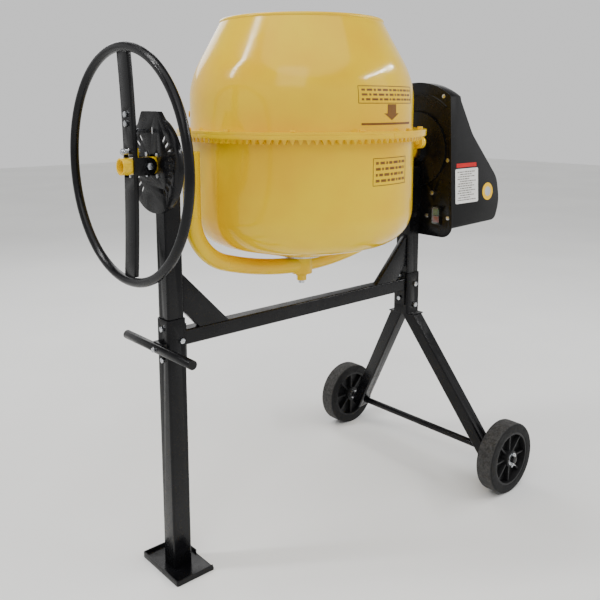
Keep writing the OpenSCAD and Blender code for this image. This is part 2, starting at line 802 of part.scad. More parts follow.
button_w = 18;
button_h = 18;
button_out = 3;
button_travel = 2.5;
start_z = switch_z + 11;
stop_z = switch_z - 11;
bezel_t = 5;
module switch_box() {
    color(black) place() difference() {
        union() {
            translate([plate_x - bezel_t, switch_y, switch_z]) rotate([90, 0, 90])
                linear_extrude(bezel_t) rounded_box(switch_w, switch_h, 4);
            translate([plate_x - 1, switch_y - 12.5, switch_z - 23.5]) cube([30, 25, 47]);
            for (s = [-1, 1]) translate([plate_x - bezel_t - 6, switch_y + s * (switch_w / 2 - 2) - 2,
                switch_z + switch_h / 2 - 8]) cube([7, 4, 8]);
        }
        for (z = [start_z, stop_z]) translate([plate_x - bezel_t - 1, switch_y - button_w / 2 - gap,
            z - button_h / 2 - gap]) cube([14, button_w + 2 * gap, button_h + 2 * gap]);
        rod_y(1.5 + fit, switch_y - 30, switch_y + 30, flap_x, flap_z, 24);
    }
}
module push_button(z) {
    translate([plate_x - bezel_t - button_out, switch_y - button_w / 2, z - button_h / 2])
        cube([button_out + 8, button_w, button_h]);
}
module stop_button() { color("#d22630") place() push_button(stop_z); }
module start_button() { color("#2f8f4e") place() push_button(start_z); }

// A clear hood over both buttons, hung on a pin between the bezel's two ears
flap_x = plate_x - bezel_t - 3.2;
flap_z = switch_z + switch_h / 2 - 4;
flap_half = switch_w / 2 - 4 - gap;
module switch_flap() {
    color("#dfe6ea") place() {
        rod_y(1.5, switch_y - switch_w / 2, switch_y + switch_w / 2, flap_x, flap_z, 24);
        difference() {
            translate([flap_x - 4, switch_y - flap_half, switch_z - 24]) cube([6.2, 2 * flap_half, 49.7]);
            translate([flap_x - 2.5, switch_y - flap_half + 1.5, switch_z - 22.5])
                cube([8, 2 * flap_half - 3, 43.5]);
        }
    }
}

module cable_gland() {
    color("#333336") place() difference() {
        union() {
            translate([plate_x - 6, gland_y, gland_z]) rotate([0, 90, 0]) cylinder(r = 14, h = 6, $fn = 6);
            rod_x(11, plate_x - 18, plate_x - 6, gland_y, gland_z, 48);
            rod_x(10, plate_x, cover_x + 6, gland_y, gland_z, 48);
            translate([cover_x, gland_y, gland_z]) rotate([0, 90, 0]) cylinder(r = 14, h = 5, $fn = 6);
        }
        rod_x(4, plate_x - 20, cover_x + 8, gland_y, gland_z, 32);
    }
}

// ---------- yoke ----------

arm_round = 130;
low_round = 900;
yoke_mid_x = (left_arm_x + right_arm_x) / 2;
yoke_half = (right_arm_x - left_arm_x) / 2;
round_z = yoke_low_z + low_round
    - sqrt(pow(low_round - arm_round, 2) - pow(yoke_half - arm_round, 2));
arm_turn = asin((yoke_half - arm_round) / (low_round - arm_round));
left_arm_top = tilt_z + 26;
right_arm_top = tilt_z - carrier_r - 8;

// The yoke is welded up from an upright arm, a bend, a shallow bow with the hub, a bend and an arm.
// A hair's width between them marks each weld.
weld = 0.02;
module yoke_bend(r) {
    slit = weld / arm_round * 180 / PI;
    translate([yoke_mid_x + yoke_half - arm_round, 0, round_z]) rotate([90, 0, 0])
        rotate([0, 0, -90 + arm_turn + slit]) rotate_extrude(angle = 90 - arm_turn - 2 * slit, $fn = 96)
        translate([arm_round, 0]) circle(r);
}
module yoke_bow(r) {
    translate([yoke_mid_x, 0, yoke_low_z + low_round]) rotate([90, 0, 0]) rotate([0, 0, -90 - arm_turn])
        rotate_extrude(angle = 2 * arm_turn, $fn = 360) translate([low_round, 0]) circle(r);
}
module yoke_arm(x, top) {
    translate([x, 0, 0]) difference() {
        rod_z(yoke_tube_r, round_z, top);
        rod_z(yoke_tube_r - yoke_tube_t, round_z - 1, top - 3);
    }
}

module yoke() {
    tube_in = yoke_tube_r - yoke_tube_t;
    color(enamel) place() {
        difference() {
            union() {
                yoke_arm(left_arm_x, left_arm_top);
                rod_x(trunnion_r, trunnion_end_x, left_arm_x - tube_in + 1, 0, tilt_z);
                translate([spring_lug_x, -5, tilt_z + trunnion_r - 2]) cube([6, 10, 22]);
            }
            rod_x(trunnion_r - 3.5, trunnion_end_x - 1, left_arm_x, 0, tilt_z);
            rod_y(5 + fit, -40, 40, hinge_x, tilt_z, 32);
            lock_bolt(bolt_play);
        }
        for (s = [0, 1]) translate([s * 2 * yoke_mid_x, 0, 0]) mirror([s, 0, 0]) difference() {
            yoke_bend(yoke_tube_r);
            yoke_bend(tube_in);
        }
        difference() {
            union() {
                difference() {
                    yoke_bow(yoke_tube_r);
                    yoke_bow(tube_in);
                }
                rod_z(hub_r, hub_top_z - hub_h, hub_top_z);
            }
            rod_z(bearing_r, hub_top_z - hub_h - 1, hub_top_z + 1);
        }
        difference() {
            union() {
                yoke_arm(right_arm_x, right_arm_top);
                at_axis() along_x(end_plate_x - 4, end_plate_x + end_plate_t) end_outline(true);
            }
            rod_x(carrier_r + fit, end_plate_x - 10, end_plate_x + 10, 0, tilt_z);
            carrier_holes(bolt_play);
        }
    }
}

// A flange with two ears and, on the yoke, a tongue down to the arm
module end_outline(tongue) {
    circle(carrier_r + 14);
    for (s = [-1, 1]) {
        translate([s * ear_y, ear_z]) circle(ear_r, $fn = 32);
        arm_outline([s * ear_y, ear_z], ear_r - 5);
    }
    if (tongue) translate([-22, -98]) square([44, 90]);
}

module carrier_holes(play) {
    for (s = [-1, 1]) bolt_back_x(5, end_plate_x - 4, carrier_face_x, s * ear_y, tilt_z + ear_z, play);
}
module carrier_bolts() { color(enamel) place() carrier_holes(0); }

pinion_x0 = mesh_r - 7;
carrier_x0 = pinion_x0 + pinion_w + 7;
carrier_x1 = cover_x + 13;
module pinion_carrier() {
    color(enamel) place() difference() {
        union() {
            rod_x(carrier_r, carrier_x0, carrier_x1, 0, tilt_z);
            at_axis() along_x(end_plate_x + end_plate_t, carrier_face_x) end_outline(false);
        }
        rod_x(20, carrier_x0 - 1, carrier_x1 + 1, 0, tilt_z);
        rod_x(bearing_r, carrier_x0 - 1, carrier_x0 + bearing_w, 0, tilt_z);
        rod_x(bearing_r, carrier_x1 - bearing_w, carrier_x1 + 1, 0, tilt_z);
        carrier_holes(bolt_play);
    }
}

// A sealed ball bearing, drawn as one ring with a groove in each face
module bearing(shaft_r) {
    difference() {
        cylinder(r = bearing_r, h = bearing_w);
        translate([0, 0, -1]) cylinder(r = shaft_r + fit, h = bearing_w + 2);
        for (z = [-1, bearing_w - 1]) translate([0, 0, z]) difference() {
            cylinder(r = 19.5, h = 2);
            cylinder(r = 14.5, h = 2);
        }
    }
}
module spindle_bearings() {
    color(steel) place() {
        translate([0, 0, hub_top_z - bearing_w]) bearing(spindle_r);
        translate([0, 0, hub_top_z - hub_h]) bearing(spindle_r);
    }
}
module pinion_bearings() {
    color(steel) place() {
        translate([carrier_x0, 0, tilt_z]) rotate([0, 90, 0]) bearing(spindle_r);
        translate([carrier_x1 - bearing_w, 0, tilt_z]) rotate([0, 90, 0]) bearing(spindle_r);
    }
}

// ---------- handwheel and its lock ----------

module hinge_bolt() { color(steel) place() bolt_y(5, -spoke_half - lug_t - 1, spoke_half + lug_t + 1, hinge_x, tilt_z); }

// A bolt from a lug on the trunnion tube through the spoke, with the spring outside the spoke
spring_lug_x = spoke_x + 17;
spring_z = tilt_z + 32;
module lock_bolt(play = 0) {
    if (play > 0) rod_x(3 + play, spring_lug_x - 2, spring_lug_x + 10, 0, spring_z, 24);
    else {
        rod_x(3, spoke_x - 17, spring_lug_x + 9, 0, spring_z, 24);
        translate([spring_lug_x + 6, 0, spring_z]) rotate([0, 90, 0]) cylinder(r = 5, h = 4, $fn = 6);
        rod_x(8, spoke_x - 14.5, spoke_x - 13, 0, spring_z, 32);
        translate([spoke_x - 18, 0, spring_z]) rotate([0, 90, 0]) cylinder(r = 5, h = 3.5, $fn = 6);
    }
}

// Seven rings stand for the coils of the compression spring, on its bolt
spring_coils = 6;
module lock_spring() {
    color(steel) place() {
        lock_bolt();
        for (k = [0:spring_coils - 1]) translate([spoke_x - 12 + k * 2.05, 0, spring_z]) rotate([0, 90, 0])
            rotate_extrude($fn = 32) translate([5.2, 0]) circle(1, $fn = 16);
    }
}

rim_r = hand_r - hand_tube_r;
module handwheel_rim() {
    color(black) place() translate([rim_x, 0, tilt_z]) rotate([0, 90, 0])
        rotate_extrude($fn = 128) translate([rim_r, 0]) circle(hand_tube_r, $fn = 48);
}

// A channel bowed toward the stand; its web is cut out round the trunnion tube,
// and two lugs carry it on the hinge bolt
lug_t = 4;
spoke_in_r = rim_r - hand_tube_r;
bow_r = (spoke_in_r * spoke_in_r + spoke_bow * spoke_bow) / (2 * spoke_bow);
module handwheel_spoke() {
    half = asin(spoke_in_r / bow_r) + 0.5;
    color(black) place() difference() {
        union() {
            intersection() {
                translate([spoke_x - bow_r, 0, tilt_z]) rotate([90, 0, 0]) rotate([0, 0, -half])
                    rotate_extrude(angle = 2 * half, $fn = 720) translate([bow_r, 0]) spoke_section();
                rod_x(spoke_in_r - 0.2, rim_x - 20, spoke_x + 40, 0, tilt_z);
            }
            for (s = [0, 1]) mirror([0, s, 0]) along_y(spoke_half - 1, spoke_half + lug_t) {
                translate([hinge_x, tilt_z]) circle(20);
                translate([spoke_x + 1, tilt_z - 20]) square([hinge_x - spoke_x - 1, 40]);
            }
        }
        translate([spoke_x - 5, -trunnion_r - 0.6, tilt_z - trunnion_r - 6])
            cube([9, 2 * trunnion_r + 1.2, 2 * trunnion_r + 12]);
        rod_y(5 + fit, -40, 40, hinge_x, tilt_z, 32);
        translate([spoke_x - 5, -4.5, spring_z - 9.5]) cube([10, 9, 16]);
        tooth_bolts(bolt_play);
    }
}
module spoke_section() {
    difference() {
        translate([0, -spoke_half]) square([spoke_d, 2 * spoke_half]);
        translate([spoke_t, -spoke_half + spoke_t]) square([spoke_d, 2 * (spoke_half - spoke_t)]);
    }
}

module tooth_bolts(play = 0) {
    for (z = [slot_pcr + 16, slot_pcr + 36]) {
        bolt_x(4, spoke_x - 1.8, spoke_x + spoke_t + 4, 0, tilt_z + z, play);
    }
}
// The bar that drops into a slot of the index plate, on a foot bolted inside the spoke
module lock_tooth() {
    color(steel) place() {
        difference() {
            union() {
                translate([spoke_x + spoke_t, -12, tilt_z + slot_pcr - tooth_h / 2]) cube([4, 24, 54]);
                translate([spoke_x + spoke_t, -tooth_w / 2, tilt_z + slot_pcr - tooth_h / 2])
                    cube([tooth_tip_x - spoke_x - spoke_t, tooth_w, tooth_h]);
            }
            tooth_bolts(bolt_play);
        }
        tooth_bolts();
    }
}

// ---------- drum ----------

function bowl_path() = let (run = drum_r - base_r) [
    [drum_r, bowl_top_z, 0],
    [drum_r, base_z + run * tan(base_rise), bowl_round],
    [base_r, base_z, 30],
    [spindle_r + 0.1, base_z, 0]];
function cone_path() = [
    [mouth_r + 3, mouth_z, 0],
    [cone_r, bowl_top_z + shoulder_h, shoulder_round],
    [cone_r, bowl_top_z, 0]];

module drum_bowl() {
    color(enamel) place() difference() {
        rotate_extrude($fn = 144) {
            polygon(concat(reversed(rounded(bowl_path(), false, 12)),
                rounded(shifted(bowl_path(), -drum_t, false), false, 12)));
            translate([drum_r - drum_t, gear_top_z]) square([flange_w + drum_t, drum_t]);
        }
        drum_joint_bolts(bolt_play);
        spindle_bolts(bolt_play);
        paddle_bolts(bolt_play);
    }
}

module drum_cone() {
    color(enamel) place() difference() {
        rotate_extrude($fn = 144) {
            polygon(concat(reversed(rounded(cone_path(), false, 12)),
                rounded(shifted(cone_path(), -drum_t, false), false, 12)));
            translate([cone_r - drum_t, bowl_top_z]) square([flange_r - cone_r + drum_t, drum_t]);
            translate([mouth_r, mouth_z]) circle(bead_r, $fn = 32);
        }
        drum_joint_bolts(bolt_play);
        paddle_bolts(bolt_play);
    }
}

joint_bolts = 12;
module drum_joint_bolts(play = 0) {
    for (k = [0:joint_bolts - 1]) rotate([0, 0, (k + 0.5) * 360 / joint_bolts])
        translate([drum_bolt_r, 0, cone_flange_z]) rotate([180, 0, 0])
        bolt(4, cone_flange_z - gear_root_z - 1, play, false);
}
module spindle_bolts(play = 0) {
    for (a = [45:90:315]) rotate([0, 0, a]) translate([38, 0, base_z + drum_t + 4]) rotate([180, 0, 0])
        bolt(4, drum_t + 4 + spindle_flange_t - 0.5, play, false);
}

// Four cast segments, each with its own teeth, that meet at small gaps
segments = 4;
tooth_face = 15;
module ring_gear() {
    per = ring_teeth / segments;
    step = 360 / ring_teeth;
    slit = 0.08;
    color(enamel) place() difference() {
        for (q = [0:segments - 1]) rotate([0, 0, q * 360 / segments]) {
            rotate([0, 0, slit]) rotate_extrude(angle = 360 / segments - 2 * slit, $fn = 144)
                translate([drum_r + 1, gear_root_z]) square([flange_w - 1.5, gear_body_t]);
            for (k = [0:per - 1]) rotate([0, 0, (k + 0.5) * step])
                translate([pinion_x0, 0, mesh_z]) rotate([90, 0, 90])
                linear_extrude(tooth_face) ring_tooth();
        }
        drum_joint_bolts(bolt_play);
    }
}
module ring_tooth() {
    low = tooth_half - tooth_up * flank;
    high = tooth_half + (tooth_down + 1) * flank;
    polygon([[-low, -tooth_up], [low, -tooth_up], [high, tooth_down + 1], [-high, tooth_down + 1]]);
}

paddle_angle = 140;
module drum_bolts() {
    color(enamel) place() {
        drum_joint_bolts();
        spindle_bolts();
        paddle_bolts();
    }
}

// Each paddle is a bar along the wall with a foot at each end, bolted through the bowl and the cone
paddle_low_z = base_z + 62;
paddle_high_z = bowl_top_z + 96;
paddle_wall_r = cone_r - drum_t - 3.5;
paddle_depth = 74;
foot_l = 46;
paddle_bolt_spots = [[drum_r, bowl_top_z - 150], [cone_r, bowl_top_z + 40]];
module paddle_bolts(play = 0) {
    for (k = [0:paddles - 1]) rotate([0, 0, paddle_angle + k * 360 / paddles])
        for (p = paddle_bolt_spots) translate([p[0] - 0.4, 18, p[1]]) rotate([0, -90, 0])
            if (play > 0) translate([0, 0, -6]) cylinder(r = 4 + play, h = 30, $fn = 24);
            else {
                translate([0, 0, -2.9]) cylinder(r = 8, h = 2.4, $fn = 32);
                translate([0, 0, -1]) cylinder(r = 4, h = p[0] - 0.4 - paddle_wall_r + 14, $fn = 24);
                translate([0, 0, p[0] - 0.4 - paddle_wall_r + paddle_foot_t]) cylinder(r = 7, h = 5.6, $fn = 6);
            }
}
paddle_foot_t = 4;
module mixing_paddles() {
    color(enamel) place() difference() {
        for (k = [0:paddles - 1]) rotate([0, 0, paddle_angle + k * 360 / paddles]) {
            along_y(0, paddle_t) polygon(rounded([
                [paddle_wall_r - 62, paddle_low_z + 26, 20],
                [paddle_wall_r, paddle_low_z + 74, 30],
                [paddle_wall_r, paddle_high_z - 36, 20],
                [paddle_wall_r - 32, paddle_high_z, 12],
                [paddle_wall_r - paddle_depth, paddle_high_z - 60, 30],
                [paddle_wall_r - 96, paddle_low_z + 60, 20]], true, 6));
            for (p = paddle_bolt_spots) translate([paddle_wall_r - paddle_foot_t, 0, p[1] - foot_l / 2])
                cube([paddle_foot_t, 34, foot_l]);
        }
        paddle_bolts(bolt_play);
    }
}

module drum_spindle() {
    color(steel) place() {
        difference() {
            union() {
                rod_z(spindle_r, hub_top_z - hub_h - 4, base_z + drum_t + 4);
                rod_z(base_r - 12, base_z - spindle_flange_t, base_z);
                rod_z(8, hub_top_z - hub_h - 28, hub_top_z - hub_h - 4);
            }
            spindle_bolts(bolt_play);
        }
        difference() {
            rod_z(base_r - 6, base_z + drum_t, base_z + drum_t + 4);
            rod_z(spindle_r + 0.4, base_z, base_z + 12);
            spindle_bolts(bolt_play);
        }
    }
}
module spindle_nut() {
    color(enamel) place() difference() {
        union() {
            translate([0, 0, hub_top_z - hub_h - 20]) cylinder(r = 14, h = 12.6, $fn = 6);
            rod_z(15, hub_top_z - hub_h - 7.4, hub_top_z - hub_h - 4);
        }
        rod_z(8 + fit, hub_top_z - hub_h - 30, hub_top_z);
    }
}

// ---------- pinion, its shaft and the large pulley ----------

shaft_x0 = pinion_x0;
shaft_x1 = pulley_x + 14;
module pinion_shaft() { color(steel) place() rod_x(spindle_r, shaft_x0, shaft_x1, 0, tilt_z); }

module drive_pinion() {
    tip = pinion_r + tooth_up - 0.3;
    root = pinion_r - tooth_down;
    tip_half = tooth_half - (tooth_up - 0.3) * flank;
    root_half = tooth_half + (tooth_down + 1) * flank * 0.8;
    color("#8d8f92") place() at_axis() along_x(pinion_x0, pinion_x0 + pinion_w) difference() {
        union() {
            circle(root, $fn = 96);
            for (k = [0:pinion_teeth - 1]) rotate(k * 360 / pinion_teeth)
                polygon([[-root_half, root - 1], [root_half, root - 1], [tip_half, tip], [-tip_half, tip]]);
        }
        circle(spindle_r);
    }
}

pulley_holes = 6;
module large_pulley() {
    color("#9a9c9e") place() translate([pulley_x, 0, tilt_z]) difference() {
        union() {
            grooved(pulley_r, pulley_r - 10, 14);
            rod_x(pulley_r - 8, -3, 3);
            rod_x(24, -4.5, 12);
        }
        rod_x(spindle_r, -20, 20);
        for (k = [0:pulley_holes - 1]) rotate([k * 360 / pulley_holes, 0, 0])
            rod_x(20, -5, 5, 66, 0);
    }
}

left_post();
lower_leg();
foot_plate();
transport_handle();
handle_plugs();
handle_bracket();
cross_beam();
left_brace();
right_brace();
drive_post();
wheel_frame_socket();
front_wheel_leg();
rear_wheel_leg();
axle();
axle_washers_and_pins();
stand_bolts();
index_plate();
left_bearing_block();
tilt_bushes();
trunnion_plate();
housing_plate();
housing_cover();
housing_screws();
motor_body();
motor_end_shields();
motor_fan_cover();
motor_mounts();
capacitor();
drive_belt();
switch_box();
cable_gland();
motor_rotor();
cooling_fan();
stop_button();
start_button();
switch_flap();
front_tyre();
front_wheel_disc();
rear_tyre();
rear_wheel_disc();
yoke();
pinion_carrier();
carrier_bolts();
spindle_bearings();
pinion_bearings();
hinge_bolt();
lock_spring();
drum_bowl();
drum_cone();
ring_gear();
drum_bolts();
mixing_paddles();
drum_spindle();
spindle_nut();
handwheel_rim();
handwheel_spoke();
lock_tooth();
pinion_shaft();
drive_pinion();
large_pulley();
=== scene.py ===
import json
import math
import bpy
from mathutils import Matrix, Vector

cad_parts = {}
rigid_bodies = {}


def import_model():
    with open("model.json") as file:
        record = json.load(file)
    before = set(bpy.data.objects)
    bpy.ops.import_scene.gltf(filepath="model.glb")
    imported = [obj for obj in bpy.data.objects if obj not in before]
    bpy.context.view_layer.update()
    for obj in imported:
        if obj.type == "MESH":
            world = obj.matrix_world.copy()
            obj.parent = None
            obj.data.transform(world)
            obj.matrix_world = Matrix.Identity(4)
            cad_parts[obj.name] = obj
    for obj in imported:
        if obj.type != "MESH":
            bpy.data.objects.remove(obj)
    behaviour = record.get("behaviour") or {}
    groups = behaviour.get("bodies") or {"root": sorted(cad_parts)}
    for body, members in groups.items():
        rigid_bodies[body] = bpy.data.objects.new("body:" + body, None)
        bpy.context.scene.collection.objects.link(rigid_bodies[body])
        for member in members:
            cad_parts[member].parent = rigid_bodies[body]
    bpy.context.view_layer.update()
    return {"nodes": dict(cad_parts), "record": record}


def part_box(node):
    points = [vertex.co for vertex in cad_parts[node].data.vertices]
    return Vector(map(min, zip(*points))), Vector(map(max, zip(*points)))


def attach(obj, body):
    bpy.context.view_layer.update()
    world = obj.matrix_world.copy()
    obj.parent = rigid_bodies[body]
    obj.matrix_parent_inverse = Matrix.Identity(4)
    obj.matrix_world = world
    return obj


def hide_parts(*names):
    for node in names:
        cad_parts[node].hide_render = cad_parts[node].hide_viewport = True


bl_info = {
    "name": "Concrete mixer finishes",
    "version": (1, 0, 0),
    "blender": (4, 5, 0),
    "location": "3D View > Sidebar > Mixer",
    "description": "Rounded edges, enamel, rubber and plastic for a tilting-drum concrete mixer",
    "category": "Object",
}

import bpy
from bpy.props import FloatProperty, FloatVectorProperty, PointerProperty
from mathutils import Matrix, Vector

# Blender's own start-up cube, lamp and camera
for leftover in list(bpy.data.objects):
    bpy.data.objects.remove(leftover)

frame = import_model()
RECORD = frame["record"]
BODY_OF = {n: body for body, nodes in RECORD["behaviour"]["bodies"].items() for n in nodes}
SLOT_OF = {part["node"]: part["material_slot"] for part in RECORD["subparts"]}
MM = 0.001

# How a copy of a CAD node is cleaned, and where its edges count as sharp, in degrees
CAD_WELD = 0.002 * MM
FLAT_WITHIN = 0.3
BEVEL_ABOVE = 38
CRISP = 32.0
DRAWN = 40.0  # spun and moulded curves, which have no crisp edge short of their bevels
BENT_ROD = 60.0

# Printed marks: a thin film just off the surface, cut into a grid so that it can follow a curve
MARK_WELD = 0.01 * MM
MARK_GRID = 6 * MM
MARK_SLIVER = 0.5 * MM
FILM = 0.25 * MM
LIFT_MM = 0.3
SECOND_LIFT_MM = 0.6  # for a mark on a mark
DRUM_CLEAR, COVER_CLEAR = 60 * MM, 40 * MM  # how far outside a mark starts before it is pressed on

# The drum's marks, in millimetres above the ground, and the way that they face in degrees about Z
MARKS_FACE = -84
ARROW_AT, LINE_AT, UPPER_BLOCK_AT, LOWER_BLOCK_AT = 1120, 1088, 1155, 976
ARROW = [(0, -24), (29, -8), (17, -8), (17, 13), (-17, 13), (-17, -8), (-29, -8)]
LINE_SIZE = (190, 5)
UPPER_BLOCK, LOWER_BLOCK = (206, 39, 3), (128, 64, 4)  # width, height, rows of dashes
BLOCK_OUTLINE = 1.6
BLOCK_DASHES, BLOCK_GAP = (9, 15, 6, 12, 18), 5
BLOCK_LEFT, BLOCK_RIGHT, BLOCK_SHORTEST = 8, 6, 6
BLOCK_SPARE, BLOCK_FIRST, BLOCK_DASH_HEIGHT = 0.6, 0.8, 0.45  # as shares of the pitch from row to row

# The cover's labels, in millimetres from its outer corner and above the ground
PANEL_AT, PANEL_SIZE, PANEL_CORNER = (74, 891), (112, 104), 5
STRIP_AT, STRIP_SIZE = (73, 953), (98, 12)
STICKER_AT, STICKER_RADIUS, STICKER_MIDDLE = (180, 866), 27, 15
DISC_POINTS = 48
PANEL_ROWS, PANEL_ROW_PITCH, PANEL_TOP_ROW, PANEL_DASH_HEIGHT = 13, 7, 42, 2.4
PANEL_DASHES, PANEL_GAP = (8, 14, 5, 11, 7), 3
PANEL_LEFT, PANEL_INDENTS = -46, (0, 12, 4)
PANEL_RIGHT, PANEL_SHORTFALLS = 40, (0, 16, 6, 28)

# The studio, in metres: a lamp's name, place, width, height and watts
LAMPS = (
    ("key", (-2.6, -2.0, 3.2), 1.8, 1.8, 26.0),
    ("fill", (2.4, -2.8, 2.2), 1.6, 1.6, 8.0),
    ("strip_right", (2.3, -1.9, 2.75), 3.2, 0.06, 55.0),
    ("strip_left", (-1.7, 0.9, 3.2), 0.12, 2.4, 50.0),
    ("back", (0.8, 3.0, 2.8), 2.2, 2.2, 40.0),
)
LAMPS_AIM = Vector((0.0, 0.0, 0.85))
FLOOR_SIDE = 24
WALL_TOP, CEILING_FROM = 0.22, 0.6  # sines of the elevations between which the walls fade
OVERHEAD_SPREAD, OVERHEAD_LEAN = math.radians(70), (math.radians(18), math.radians(-12), 0.0)


# ---------- colours, nodes and selection ----------


def linear(hex_colour):
    """An sRGB hex colour as linear red, green and blue."""
    channels = [int(hex_colour[i : i + 2], 16) / 255 for i in (1, 3, 5)]
    return [c / 12.92 if c <= 0.04045 else ((c + 0.055) / 1.055) ** 2.4 for c in channels]


def add(tree, kind, inputs=None, give=None, **settings):
    """Adds a node with its settings and links, and hands back the node or the output named by give."""
    node = tree.nodes.new(kind)
    for key, value in settings.items():
        setattr(node, key, value)
    for key, value in (inputs or {}).items():
        if isinstance(value, bpy.types.NodeSocket):
            tree.links.new(value, node.inputs[key])
        else:
            node.inputs[key].default_value = value
    return node if give is None else node.outputs[give]


def deselect():
    """Leaves edit mode and selects nothing, because an operator acts on all that is selected."""
    if bpy.context.object and bpy.context.object.mode != "OBJECT":
        bpy.ops.object.mode_set(mode="OBJECT")
    bpy.ops.object.select_all(action="DESELECT")


def only(piece):
    """Selects one piece and makes it active."""
    deselect()
    piece.select_set(True)
    bpy.context.view_layer.objects.active = piece


def settle(piece):
    """Puts the piece's place into its mesh, so its object sits at the origin."""
    only(piece)
    bpy.ops.object.transform_apply(location=True, rotation=True, scale=True)


def close_and_face_out(piece):
    """Merges a mark's doubles and turns its faces outwards."""
    only(piece)
    bpy.ops.object.mode_set(mode="EDIT")
    bpy.ops.mesh.select_all(action="SELECT")
    bpy.ops.mesh.remove_doubles(threshold=MARK_WELD)
    bpy.ops.mesh.normals_make_consistent(inside=False)
    bpy.ops.object.mode_set(mode="OBJECT")


def apply(piece, kind, **settings):
    """Adds a modifier and applies it."""
    only(piece)
    modifier = piece.modifiers.new(kind.title(), kind)
    for key, value in settings.items():
        setattr(modifier, key, value)
    bpy.ops.object.modifier_apply(modifier=modifier.name)


def smooth(piece, degrees):
    """Shades smooth over every edge that turns less than this."""
    only(piece)
    bpy.ops.object.shade_smooth_by_angle(angle=math.radians(degrees))


def dress(piece, finish, body):
    """Gives a piece its material and the body that it moves with."""
    piece.data.materials.clear()
    piece.data.materials.append(material(finish))
    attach(piece, body)
    return piece


def refined(node, edge=0.0, degrees=CRISP, segments=2):
    """A copy of a CAD node with merged triangles, rounded edges and smooth curves, in place of the node."""
    source = frame["nodes"][node]
    piece = bpy.data.objects.new(node + "_finished", source.data.copy())
    bpy.context.scene.collection.objects.link(piece)
    only(piece)
    if piece.data.has_custom_normals:
        bpy.ops.mesh.customdata_custom_splitnormals_clear()
    bpy.ops.object.mode_set(mode="EDIT")
    bpy.ops.mesh.select_all(action="SELECT")
    bpy.ops.mesh.remove_doubles(threshold=CAD_WELD)
    bpy.ops.mesh.dissolve_limited(angle_limit=math.radians(FLAT_WITHIN))
    bpy.ops.object.mode_set(mode="OBJECT")
    if edge:
        apply(piece, "BEVEL", width=edge, segments=segments, limit_method="ANGLE",
              angle_limit=math.radians(BEVEL_ABOVE), use_clamp_overlap=True)
    smooth(piece, degrees)
    dress(piece, SLOT_OF[node], BODY_OF[node])
    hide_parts(node)
    return piece


# ---------- materials ----------


def start(name, **sockets):
    """A material, its node tree, its Principled shader with plain values set, and its Object coordinates."""
    made = bpy.data.materials.new(name)
    made.use_nodes = True
    tree = made.node_tree
    shader = tree.nodes["Principled BSDF"]
    for socket, value in sockets.items():
        shader.inputs[socket.replace("_", " ")].default_value = value
    return made, tree, shader, add(tree, "ShaderNodeTexCoord", give="Object")


def surface(tree, shader, where, colours, colour_mm, gloss, gloss_mm, bump_mm, deep_mm, strength=0.4):
    """Colour, gloss and relief from three noises, whose lumps are colour_mm, gloss_mm and bump_mm across.

    Most of a noise lies between 0.3 and 0.7, so that range is stretched over both colours and both glosses.
    """
    drift = add(tree, "ShaderNodeTexNoise",
                {"Vector": where, "Scale": 1 / (colour_mm * MM), "Detail": 3.0}, "Fac")
    blend = add(tree, "ShaderNodeMapRange", {"Value": drift, "From Min": 0.35, "From Max": 0.65}, "Result")
    colour = add(tree, "ShaderNodeMix",
                 {"Factor": blend, 6: [*colours[0], 1.0], 7: [*colours[1], 1.0]}, 2, data_type="RGBA")
    cloud = add(tree, "ShaderNodeTexNoise",
                {"Vector": where, "Scale": 1 / (gloss_mm * MM), "Detail": 4.0, "Roughness": 0.6}, "Fac")
    rough = add(tree, "ShaderNodeMapRange",
                {"Value": cloud, "From Min": 0.3, "From Max": 0.7, "To Min": gloss[0], "To Max": gloss[1]},
                "Result")
    lumps = add(tree, "ShaderNodeTexNoise",
                {"Vector": where, "Scale": 1 / (bump_mm * MM), "Detail": 2.0}, "Fac")
    relief = add(tree, "ShaderNodeBump",
                 {"Height": lumps, "Distance": deep_mm * MM, "Strength": strength}, "Normal")
    tree.links.new(colour, shader.inputs["Base Color"])
    tree.links.new(rough, shader.inputs["Roughness"])
    tree.links.new(relief, shader.inputs["Normal"])
    return colour


def yellow_enamel():
    """Sprayed and baked enamel on steel."""
    colours = bpy.context.scene.mixer_colours
    # Wet-looking, with orange peel, and a little deeper in colour where the coat ran thicker
    made, tree, shader, where = start("baked_yellow_enamel", IOR=1.5, Specular_IOR_Level=0.34)
    surface(tree, shader, where, (colours.enamel, colours.enamel_deep), colour_mm=180, gloss=(0.09, 0.2),
            gloss_mm=45, bump_mm=6.0, deep_mm=0.08, strength=0.3)
    return made


def black_enamel():
    """Black powder coat on steel tube and sheet."""
    colours = bpy.context.scene.mixer_colours
    # A deep gloss under a slightly pebbled skin, dulled in patches by dust and handling. The pebbles are
    # drawn 2.5 mm across, coarser than they are, so that they show
    made, tree, shader, where = start("black_powder_coat", IOR=1.5, Specular_IOR_Level=0.22)
    surface(tree, shader, where, (colours.frame, colours.frame_worn), colour_mm=90, gloss=(0.16, 0.34),
            gloss_mm=30, bump_mm=2.5, deep_mm=0.12)
    return made


def zinc_steel():
    """Bright zinc plate on steel."""
    # A cool metal, cloudy where the plate is thicker
    made, tree, shader, where = start("bright_zinc_plate", Metallic=1.0)
    surface(tree, shader, where, (linear("#9A9DA1"), linear("#DADCDF")), colour_mm=6, gloss=(0.2, 0.36),
            gloss_mm=5, bump_mm=1.2, deep_mm=0.05, strength=0.2)
    return made


def metal(name, dark, light, gloss, grain_mm):
    """Plain cast or turned metal, with the grain that its surface was left with."""
    made, tree, shader, where = start(name, Metallic=1.0)
    surface(tree, shader, where, (linear(dark), linear(light)), colour_mm=grain_mm * 2, gloss=gloss,
            gloss_mm=grain_mm * 4, bump_mm=grain_mm, deep_mm=0.15)
    return made


